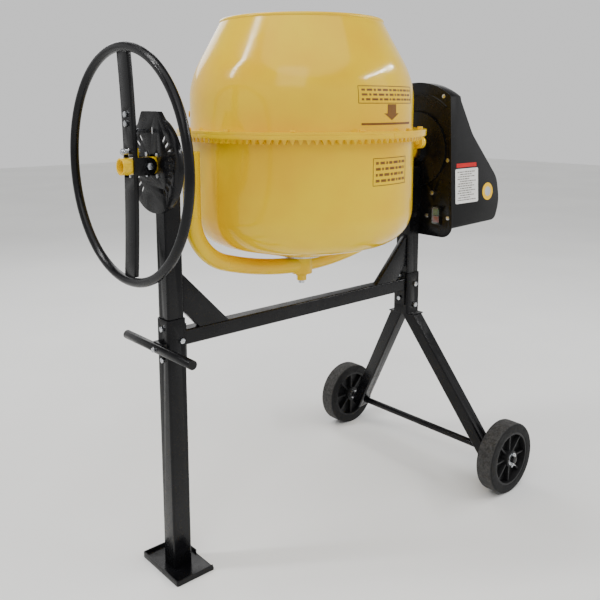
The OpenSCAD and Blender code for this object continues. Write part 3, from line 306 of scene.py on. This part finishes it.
def moulded(name, light, dark, gloss, grain_mm=1.0, deep_mm=0.05, shine=0.35):
    """Injection-moulded plastic or printed vinyl: an even colour under a fine grain from the tool."""
    made, tree, shader, where = start(name, IOR=1.5, Specular_IOR_Level=shine)
    surface(tree, shader, where, (linear(light), linear(dark)), colour_mm=60, gloss=gloss, gloss_mm=25,
            bump_mm=grain_mm, deep_mm=deep_mm)
    return made


def tyre():
    """Solid moulded rubber."""
    # Matt black and grainy, with a grey scuff where the tread rolls on the ground
    made, tree, shader, where = start("solid_tyre_rubber", IOR=1.5, Specular_IOR_Level=0.3)
    rubber = surface(tree, shader, where, (linear("#0A0A0B"), linear("#121213")), colour_mm=30,
                     gloss=(0.6, 0.8), gloss_mm=12, bump_mm=1.8, deep_mm=0.3, strength=0.5)
    low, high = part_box("front_tyre")
    axle, radius = (low + high) / 2, (high.z - low.z) / 2
    scuff_from, scuff_full, speck = radius - 3 * MM, radius - 0.5 * MM, 9 * MM
    flat = add(tree, "ShaderNodeVectorMath", {0: where, 1: (1.0, 0.0, 1.0)}, 0, operation="MULTIPLY")
    reach = add(tree, "ShaderNodeVectorMath", {0: flat, 1: (axle.x, 0.0, axle.z)}, "Value",
                operation="DISTANCE")
    tread = add(tree, "ShaderNodeMapRange",
                {"Value": reach, "From Min": scuff_from, "From Max": scuff_full}, "Result")
    specks = add(tree, "ShaderNodeTexNoise",
                 {"Vector": where, "Scale": 1 / speck, "Detail": 6.0, "Roughness": 0.7}, "Fac")
    patch = add(tree, "ShaderNodeMapRange",
                {"Value": specks, "From Min": 0.3, "From Max": 0.7, "To Min": 0.1}, "Result")
    worn = add(tree, "ShaderNodeMath", {0: tread, 1: patch}, 0, operation="MULTIPLY")
    scuffed = add(tree, "ShaderNodeMix", {"Factor": worn, 6: rubber, 7: [*linear("#4A4948"), 1.0]}, 2,
                  data_type="RGBA")
    tree.links.new(scuffed, shader.inputs["Base Color"])
    return made


def clear_plastic():
    """Clear soft PVC, dip-moulded."""
    # A thin see-through hood with a faint haze
    made, tree, shader, where = start("clear_pvc", IOR=1.5, Transmission_Weight=0.95)
    surface(tree, shader, where, (linear("#E4EAEC"), linear("#D8DFE2")), colour_mm=20, gloss=(0.08, 0.2),
            gloss_mm=8, bump_mm=6, deep_mm=0.1, strength=0.2)
    return made


# A moulded or printed surface has a grain well under 1 mm, drawn 0.8 to 1.6 mm across so that it shows
FINISHES = {
    "yellow_enamel": yellow_enamel,
    "black_enamel": black_enamel,
    "zinc_steel": zinc_steel,
    # Sand-cast and greased: nearly black, with dull, smeared highlights
    "gear_iron": lambda: metal("greased_cast_iron", "#2C2C2D", "#4E4E50", (0.35, 0.6), 1.5),
    # Pressed from powder and oiled: a dull, warm brown metal
    "bush_bronze": lambda: metal("sintered_bronze", "#6E5327", "#94713A", (0.35, 0.5), 0.8),
    # Die cast and turned: pale, even and softly bright
    "pulley_aluminium": lambda: metal("die_cast_aluminium", "#8E9093", "#B4B6B8", (0.35, 0.5), 1.2),
    # Cast with fins and left as it came: greyer and duller than the pulley
    "motor_aluminium": lambda: metal("finned_aluminium", "#6B6D70", "#8A8C8F", (0.4, 0.6), 1.2),
    "tyre": tyre,
    # Moulded rubber: black with hardly any shine, and a coarse grain
    "black_rubber": lambda: moulded("soft_black_rubber", "#141414", "#1D1D1D", (0.6, 0.8), 1.4, 0.12, 0.3),
    # Injection-moulded ABS: deep black with a satin sheen, so that the cover's edges show as soft lines
    "housing_plastic": lambda: moulded("satin_black_abs", "#0B0B0C", "#121213", (0.14, 0.28), 1.1, 0.03, 0.25),
    # Injection-moulded polypropylene: waxy, and duller than the cover
    "wheel_plastic": lambda: moulded("black_polypropylene", "#0E0E0F", "#161617", (0.36, 0.5), 1.6, 0.08, 0.3),
    # Moulded polystyrene: off-white, with a soft shine
    "pale_plastic": lambda: moulded("pale_polystyrene", "#CFCFC9", "#C3C3BC", (0.35, 0.5)),
    # Moulded switch caps: full colour, smoother than the box round them
    "red_plastic": lambda: moulded("red_switch_cap", "#C4161C", "#A81218", (0.25, 0.35), 0.8),
    "green_plastic": lambda: moulded("green_switch_cap", "#1F7A3D", "#186633", (0.25, 0.35), 0.8),
    "clear_plastic": clear_plastic,
    # Screen-printed ink: thin and flat, and less shiny than the coat under it
    "mark_ink": lambda: moulded("screen_printed_brown_ink", "#6B4300", "#7A5008", (0.35, 0.5), 1.0, 0.02),
    "black_ink": lambda: moulded("screen_printed_black_ink", "#33210A", "#3D2A10", (0.35, 0.5), 1.0, 0.02),
    # Vinyl film: flat, smooth colour that stands out from the satin cover
    "label_white": lambda: moulded("white_vinyl_label", "#E9E8E4", "#DDDCD6", (0.3, 0.45), 1.5, 0.02),
    "label_red": lambda: moulded("red_vinyl_label", "#D01814", "#BC1512", (0.3, 0.45), 1.5, 0.02),
    "label_yellow": lambda: moulded("yellow_vinyl_label", "#F6C400", "#EDB900", (0.3, 0.45), 1.5, 0.02),
    "label_grey": lambda: moulded("grey_vinyl_label", "#B9BBBB", "#ABADAD", (0.3, 0.45), 1.5, 0.02),
}
MADE = {}


def material(finish):
    """The finish's material, made on its first use."""
    if finish not in MADE:
        MADE[finish] = FINISHES[finish]()
    return MADE[finish]


# ---------- thin marks laid on a surface ----------


def laid(name, shape, onto, body, finish, turn, centre, lift_mm=LIFT_MM):
    """An outline in metres, laid as a film on another piece. turn is the way it faces, in degrees about Z."""
    deselect()
    bpy.ops.mesh.primitive_circle_add(vertices=len(shape), fill_type="NGON", radius=1.0)
    piece = bpy.context.object
    piece.name = name
    for vertex, (x, z) in zip(piece.data.vertices, shape):
        vertex.co = (x, 0.0, z)
    bpy.ops.object.mode_set(mode="EDIT")
    for axis in (0, 2):
        ends = [vertex_at[axis // 2] for vertex_at in shape]
        low, high = min(ends), max(ends)
        for k in range(1, int((high - low) / MARK_GRID) + 1):
            at, normal = [0.0, 0.0, 0.0], [0.0, 0.0, 0.0]
            at[axis], normal[axis] = low + k * MARK_GRID, 1.0
            if at[axis] < high - MARK_SLIVER:
                bpy.ops.mesh.select_all(action="SELECT")
                bpy.ops.mesh.bisect(plane_co=at, plane_no=normal)
    bpy.ops.object.mode_set(mode="OBJECT")
    piece.matrix_world = Matrix.Translation(centre) @ Matrix.Rotation(math.radians(turn), 4, "Z")
    apply(piece, "SHRINKWRAP", target=onto, wrap_method="PROJECT", use_project_y=True,
          use_positive_direction=True, use_negative_direction=False, wrap_mode="ABOVE_SURFACE",
          offset=lift_mm * MM)
    settle(piece)
    close_and_face_out(piece)
    apply(piece, "SOLIDIFY", thickness=FILM, offset=0.0)
    close_and_face_out(piece)
    smooth(piece, DRAWN)
    return dress(piece, finish, body)


def bar(width, height, x=0.0, z=0.0):
    """A rectangle's outline round a middle."""
    half_w, half_h = width / 2, height / 2
    return [(x - half_w, z - half_h), (x + half_w, z - half_h),
            (x + half_w, z + half_h), (x - half_w, z + half_h)]


def rounded_bar(width, height, radius):
    """A rectangle's outline with round corners."""
    corner = [(radius * math.cos(math.radians(a)), radius * math.sin(math.radians(a)))
              for a in range(0, 91, 15)]
    half_w, half_h = width / 2 - radius, height / 2 - radius
    return [(sx * (half_w + (x if sx * sz > 0 else y)), sz * (half_h + (y if sx * sz > 0 else x)))
            for sx, sz in ((1, 1), (-1, 1), (-1, -1), (1, -1)) for x, y in corner]


def disc(radius):
    """A circle's outline."""
    half_turn = DISC_POINTS / 2
    return [(radius * math.cos(a * math.pi / half_turn), radius * math.sin(a * math.pi / half_turn))
            for a in range(DISC_POINTS)]


def dash_row(start_at, stop_at, first, lengths, gap, end=math.inf):
    """The length and middle of each dash in a row. The lengths follow in turn from the first one's number."""
    x, k = start_at, first
    while x < stop_at:
        long = min(lengths[k % len(lengths)], end - x)
        yield long, x + long / 2
        x, k = x + long + gap, k + 1


def in_metres(shape):
    """An outline in millimetres as one in metres."""
    return [(x * MM, z * MM) for x, z in shape]


def joined(name, pieces):
    """Joins pieces into the first, under one name."""
    deselect()
    for piece in pieces:
        piece.select_set(True)
    bpy.context.view_layer.objects.active = pieces[0]
    bpy.ops.object.join()
    pieces[0].name = name
    return pieces[0]


def on_drum(name, shape, onto, height_mm):
    """A printed mark on the drum's front, dropped onto it from outside."""
    low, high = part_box("drum_cone")
    middle = (low + high) / 2
    left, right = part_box("drum_bowl")
    radius = (right.x - left.x) / 2 + DRUM_CLEAR
    turn = math.radians(MARKS_FACE)
    outside = Vector((middle.x + radius * math.cos(turn), middle.y + radius * math.sin(turn), height_mm * MM))
    return laid(name, in_metres(shape), onto, "drum", "mark_ink", MARKS_FACE + 90, outside)


def lay_block(name, onto, height_mm, width, height, rows):
    """An outlined block of dashes, its sizes in millimetres, on the drum's front."""
    half_w, half_h = width / 2, height / 2
    bars = [bar(width, BLOCK_OUTLINE, 0, half_h), bar(width, BLOCK_OUTLINE, 0, -half_h),
            bar(BLOCK_OUTLINE, height, half_w, 0), bar(BLOCK_OUTLINE, height, -half_w, 0)]
    pitch = height / (rows + BLOCK_SPARE)
    right = half_w - BLOCK_RIGHT
    for row in range(rows):
        z = half_h - pitch * (row + BLOCK_FIRST)
        bars += [bar(long, pitch * BLOCK_DASH_HEIGHT, x, z)
                 for long, x in dash_row(-half_w + BLOCK_LEFT, right - BLOCK_SHORTEST, row, BLOCK_DASHES,
                                         BLOCK_GAP, right)]
    return joined(name, [on_drum("bar", shape, onto, height_mm) for shape in bars])


# ---------- sizes and colours ----------


class MixerColours(bpy.types.PropertyGroup):
    """The two coats, each with the colour that it drifts to"""

    enamel: FloatVectorProperty(name="Enamel", description="Main colour of the drum and yoke",
                                subtype="COLOR", default=linear("#EBC500"))
    enamel_deep: FloatVectorProperty(name="Deep enamel", description="Colour where the enamel is thicker",
                                     subtype="COLOR", default=linear("#E6B600"))
    frame: FloatVectorProperty(name="Frame", description="Colour of the stand and handwheel",
                               subtype="COLOR", default=linear("#08080A"))
    frame_worn: FloatVectorProperty(name="Handled frame", description="Colour where the black coat is dusty",
                                    subtype="COLOR", default=linear("#111113"))


class MixerEdges(bpy.types.PropertyGroup):
    """How far each kind of edge is rounded"""

    tube: FloatProperty(name="Tube edges", description="Rounding of cut tubes and brackets",
                        default=0.8 * MM, unit="LENGTH")
    sheet: FloatProperty(name="Sheet edges", description="Rounding of pressed and folded sheet",
                         default=0.6 * MM, unit="LENGTH")
    cover: FloatProperty(name="Cover edges", description="Rounding of the moulded cover",
                         default=7 * MM, unit="LENGTH")
    bolt: FloatProperty(name="Bolt edges", description="Rounding of bolt heads and nuts",
                        default=0.5 * MM, unit="LENGTH")
    casting: FloatProperty(name="Casting edges", description="Rounding of the ring gear's cast teeth",
                           default=0.7 * MM, unit="LENGTH")
    machined: FloatProperty(name="Machined edges", description="Rounding of the motor and drive parts",
                            default=0.4 * MM, unit="LENGTH")
    turned: FloatProperty(name="Turned edges", description="Rounding of bearings, washers and pins",
                          default=0.3 * MM, unit="LENGTH")
    moulding: FloatProperty(name="Moulding edges", description="Rounding of wheel discs and switch parts",
                            default=0.8 * MM, unit="LENGTH")
    tyre: FloatProperty(name="Tyre edges", description="Rounding of the tyres' shoulders",
                        default=1.5 * MM, unit="LENGTH")


class MixerStage(bpy.types.PropertyGroup):
    """Where the camera stands, and how bright the studio is"""

    camera_at: FloatVectorProperty(name="Camera", description="Where the camera stands",
                                   subtype="TRANSLATION", default=(-1.3798, -1.4642, 1.1321))
    camera_yaw: FloatProperty(name="Yaw", description="Turn of the view from straight ahead",
                              subtype="ANGLE", default=math.radians(41.2))
    camera_pitch: FloatProperty(name="Pitch", description="How far the view looks down",
                                subtype="ANGLE", default=math.radians(9.3))
    camera_lens: FloatProperty(name="Lens", description="Focal length on a 36 mm sensor",
                               subtype="DISTANCE_CAMERA", default=44.1)
    camera_shift: FloatProperty(name="Shift", description="How far the frame is lowered, in frame widths",
                                default=-0.125)
    wall_light: FloatProperty(name="Wall light", description="Brightness of the white walls all round",
                              default=0.85)
    ceiling_light: FloatProperty(name="Ceiling light", description="Brightness of the dim ceiling",
                                 default=0.15)
    overhead_light: FloatProperty(name="Overhead light", description="Strength of the soft overhead light",
                                  default=1.7)


# ---------- the pieces ----------


class MIXER_OT_drum(bpy.types.Operator):
    """Bowl, cone, paddles and spindle, in yellow enamel"""

    bl_idname = "mixer.drum"
    bl_label = "Drum"

    def execute(self, context):
        edges = context.scene.mixer_edges
        for node in ("drum_bowl", "drum_cone"):
            refined(node, degrees=DRAWN)
        refined("mixing_paddles", edges.sheet)
        refined("drum_spindle")
        refined("spindle_nut", edges.bolt)
        refined("drum_bolts", edges.bolt)
        return {"FINISHED"}


class MIXER_OT_ring_gear(bpy.types.Operator):
    """Cast ring gear in four segments, painted with the drum"""

    bl_idname = "mixer.ring_gear"
    bl_label = "Ring gear"

    def execute(self, context):
        refined("ring_gear", context.scene.mixer_edges.casting, DRAWN)
        return {"FINISHED"}


class MIXER_OT_yoke(bpy.types.Operator):
    """Bent tube yoke with its hub, trunnion and the pinion's carrier"""

    bl_idname = "mixer.yoke"
    bl_label = "Yoke"

    def execute(self, context):
        edges = context.scene.mixer_edges
        refined("yoke", edges.sheet, DRAWN)
        refined("pinion_carrier", edges.sheet)
        refined("carrier_bolts", edges.bolt)
        for node in ("spindle_bearings", "pinion_bearings"):
            refined(node, edges.turned)
        refined("hinge_bolt", edges.bolt)
        refined("lock_spring", degrees=DRAWN)
        return {"FINISHED"}


class MIXER_OT_stand(bpy.types.Operator):
    """Posts, beam, braces, wheel legs and foot, in black enamel"""

    bl_idname = "mixer.stand"
    bl_label = "Stand"

    def execute(self, context):
        edges = context.scene.mixer_edges
        for node in ("left_post", "lower_leg", "foot_plate", "cross_beam", "left_brace", "right_brace",
                     "drive_post", "wheel_frame_socket", "front_wheel_leg", "rear_wheel_leg", "handle_bracket",
                     "transport_handle", "handle_plugs", "axle", "left_bearing_block", "index_plate",
                     "trunnion_plate", "tilt_bushes"):
            refined(node, edges.tube)
        refined("stand_bolts", edges.bolt)
        refined("axle_washers_and_pins", edges.turned)
        return {"FINISHED"}


class MIXER_OT_wheels(bpy.types.Operator):
    """Solid rubber tyres on moulded discs"""

    bl_idname = "mixer.wheels"
    bl_label = "Wheels"

    def execute(self, context):
        edges = context.scene.mixer_edges
        for side in ("front", "rear"):
            refined(side + "_tyre", edges.tyre, DRAWN, segments=3)
            refined(side + "_wheel_disc", edges.moulding)
        return {"FINISHED"}


class MIXER_OT_handwheel(bpy.types.Operator):
    """Handwheel rim, its channel spoke and the lock tooth"""

    bl_idname = "mixer.handwheel"
    bl_label = "Handwheel"

    def execute(self, context):
        edges = context.scene.mixer_edges
        refined("handwheel_rim", degrees=BENT_ROD)
        refined("handwheel_spoke", edges.sheet)
        refined("lock_tooth", edges.bolt)
        return {"FINISHED"}


class MIXER_OT_housing(bpy.types.Operator):
    """Back plate and moulded cover of the drive, with its screws"""

    bl_idname = "mixer.housing"
    bl_label = "Drive housing"

    def execute(self, context):
        edges = context.scene.mixer_edges
        refined("housing_plate", edges.tube)
        refined("housing_cover", edges.cover, DRAWN, segments=4)
        refined("housing_screws", edges.bolt)
        return {"FINISHED"}


class MIXER_OT_drive(bpy.types.Operator):
    """Motor, belt, pulleys and pinion"""

    bl_idname = "mixer.drive"
    bl_label = "Drive"

    def execute(self, context):
        for node in ("motor_body", "motor_end_shields", "motor_fan_cover", "motor_mounts", "capacitor",
                     "drive_belt", "motor_rotor", "cooling_fan", "pinion_shaft", "large_pulley",
                     "drive_pinion"):
            refined(node, context.scene.mixer_edges.machined)
        return {"FINISHED"}


class MIXER_OT_switch(bpy.types.Operator):
    """Switch box, its two buttons and clear hood, and the cable gland"""

    bl_idname = "mixer.switch"
    bl_label = "Switch"

    def execute(self, context):
        for node in ("switch_box", "stop_button", "start_button", "switch_flap", "cable_gland"):
            refined(node, context.scene.mixer_edges.moulding, segments=3)
        return {"FINISHED"}


class MIXER_OT_drum_marks(bpy.types.Operator):
    """A fill arrow over a level line, and two blocks of plain bars"""

    bl_idname = "mixer.drum_marks"
    bl_label = "Drum marks"

    def execute(self, context):
        cone, bowl = bpy.data.objects["drum_cone_finished"], bpy.data.objects["drum_bowl_finished"]
        joined("fill_mark", [on_drum("fill_arrow", ARROW, cone, ARROW_AT),
                             on_drum("fill_line", bar(*LINE_SIZE), cone, LINE_AT)])
        lay_block("upper_block", cone, UPPER_BLOCK_AT, *UPPER_BLOCK)
        lay_block("lower_block", bowl, LOWER_BLOCK_AT, *LOWER_BLOCK)
        return {"FINISHED"}


class MIXER_OT_housing_label(bpy.types.Operator):
    """A blank rating panel with a red strip, and a round sticker, on the cover's front"""

    bl_idname = "mixer.housing_label"
    bl_label = "Housing label"

    def execute(self, context):
        cover = bpy.data.objects["housing_cover_finished"]
        corner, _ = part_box("housing_cover")

        def on_cover(name, shape, place, finish, lift_mm=LIFT_MM):
            outside = Vector((corner.x + place[0] * MM, corner.y - COVER_CLEAR, place[1] * MM))
            return laid(name, in_metres(shape), cover, "stand", finish, 0, outside, lift_mm)

        on_cover("rating_panel", rounded_bar(*PANEL_SIZE, PANEL_CORNER), PANEL_AT, "label_white")
        on_cover("rating_strip", bar(*STRIP_SIZE), STRIP_AT, "label_red")
        dashes = []
        for row in range(PANEL_ROWS):
            left = PANEL_LEFT + PANEL_INDENTS[row % len(PANEL_INDENTS)]
            right = PANEL_RIGHT - PANEL_SHORTFALLS[row % len(PANEL_SHORTFALLS)]
            dashes += [on_cover("dash", bar(long, PANEL_DASH_HEIGHT, x, PANEL_TOP_ROW - row * PANEL_ROW_PITCH),
                                PANEL_AT, "black_ink", SECOND_LIFT_MM)
                       for long, x in dash_row(left, right, row, PANEL_DASHES, PANEL_GAP)]
        joined("rating_dashes", dashes)
        on_cover("round_label_yellow", disc(STICKER_RADIUS), STICKER_AT, "label_yellow")
        on_cover("round_label_grey", disc(STICKER_MIDDLE), STICKER_AT, "label_grey", SECOND_LIFT_MM)
        return {"FINISHED"}


# ---------- the studio ----------


def lay_floor():
    """A wide plain floor."""
    deselect()
    bpy.ops.mesh.primitive_plane_add(size=FLOOR_SIDE)
    floor = bpy.context.object
    floor.name = "studio_floor"
    # Matt painted board: an even, shadowless pale grey
    made, tree, shader, where = start("pale_painted_floor")
    surface(tree, shader, where, (linear("#F6F6F4"), linear("#F1F1EF")), colour_mm=900, gloss=(0.75, 0.85),
            gloss_mm=400, bump_mm=40, deep_mm=0.1, strength=0.1)
    floor.data.materials.append(made)


def light_walls(stage):
    """White walls all round, which fade to a dim ceiling."""
    world = bpy.data.worlds.new("soft_studio")
    world.use_nodes = True
    sky, backdrop = world.node_tree, world.node_tree.nodes["Background"]
    way = add(sky, "ShaderNodeTexCoord", give="Generated")
    height = add(sky, "ShaderNodeSeparateXYZ", {"Vector": way}, "Z")
    fade = add(sky, "ShaderNodeMapRange",
               {"Value": height, "From Min": WALL_TOP, "From Max": CEILING_FROM,
                "To Min": stage.wall_light, "To Max": stage.ceiling_light}, "Result",
               interpolation_type="SMOOTHSTEP")
    sky.links.new(fade, backdrop.inputs["Strength"])
    backdrop.inputs["Color"].default_value = [1.0, 1.0, 1.0, 1.0]
    bpy.context.scene.world = world


def hang_lamps(stage):
    """Soft boxes and two narrow strips, which draw the long highlights on the drum, and an overhead light."""
    link = bpy.context.scene.collection.objects.link
    for name, place, width, height, power in LAMPS:
        light = bpy.data.lights.new(name, "AREA")
        light.shape = "RECTANGLE"
        light.energy, light.size, light.size_y = power, width, height
        lamp = bpy.data.objects.new(name, light)
        lamp.location = place
        lamp.rotation_euler = (LAMPS_AIM - Vector(place)).to_track_quat("-Z", "Y").to_euler()
        link(lamp)
    # One wide soft light from overhead reaches the floor evenly, out to the walls
    ceiling = bpy.data.lights.new("ceiling", "SUN")
    ceiling.energy, ceiling.angle = stage.overhead_light, OVERHEAD_SPREAD
    lamp = bpy.data.objects.new("ceiling", ceiling)
    lamp.rotation_euler = OVERHEAD_LEAN
    link(lamp)


def place_camera(stage):
    """The camera, level with the drum and off the corner where the handwheel is."""
    camera = bpy.data.objects.new("camera", bpy.data.cameras.new("camera"))
    camera.location = stage.camera_at
    camera.rotation_euler = (math.pi / 2 - stage.camera_pitch, 0.0, -stage.camera_yaw)
    camera.data.lens = stage.camera_lens
    camera.data.sensor_width = 36.0
    camera.data.shift_y = stage.camera_shift
    bpy.context.scene.collection.objects.link(camera)
    bpy.context.scene.camera = camera


class MIXER_OT_stage(bpy.types.Operator):
    """Pale floor, soft lights and the camera"""

    bl_idname = "mixer.stage"
    bl_label = "Stage"

    def execute(self, context):
        stage = context.scene.mixer_stage
        lay_floor()
        light_walls(stage)
        hang_lamps(stage)
        place_camera(stage)
        return {"FINISHED"}


OPERATORS = (MIXER_OT_drum, MIXER_OT_ring_gear, MIXER_OT_yoke, MIXER_OT_stand, MIXER_OT_wheels,
             MIXER_OT_handwheel, MIXER_OT_housing, MIXER_OT_drive, MIXER_OT_switch, MIXER_OT_drum_marks,
             MIXER_OT_housing_label, MIXER_OT_stage)
GROUPS = {"mixer_colours": MixerColours, "mixer_edges": MixerEdges, "mixer_stage": MixerStage}


class MIXER_PT_panel(bpy.types.Panel):
    """The mixer's sizes, colours and pieces"""

    bl_idname = "MIXER_PT_panel"
    bl_label = "Concrete mixer"
    bl_space_type = "VIEW_3D"
    bl_region_type = "UI"
    bl_category = "Mixer"

    def draw(self, context):
        for group, kind in GROUPS.items():
            box = self.layout.box()
            for name in kind.__annotations__:
                box.prop(getattr(context.scene, group), name)
        for operator in OPERATORS:
            self.layout.operator(operator.bl_idname)


def register():
    for kind in (*GROUPS.values(), *OPERATORS, MIXER_PT_panel):
        bpy.utils.register_class(kind)
    for name, kind in GROUPS.items():
        setattr(bpy.types.Scene, name, PointerProperty(type=kind))


def unregister():
    for name in GROUPS:
        delattr(bpy.types.Scene, name)
    for kind in reversed((*GROUPS.values(), *OPERATORS, MIXER_PT_panel)):
        bpy.utils.unregister_class(kind)


def main():
    register()
    bpy.ops.mixer.drum()
    bpy.ops.mixer.ring_gear()
    bpy.ops.mixer.yoke()
    bpy.ops.mixer.stand()
    bpy.ops.mixer.wheels()
    bpy.ops.mixer.handwheel()
    bpy.ops.mixer.housing()
    bpy.ops.mixer.drive()
    bpy.ops.mixer.switch()
    bpy.ops.mixer.drum_marks()
    bpy.ops.mixer.housing_label()
    bpy.ops.mixer.stage()


if __name__ == "__main__":
    main()
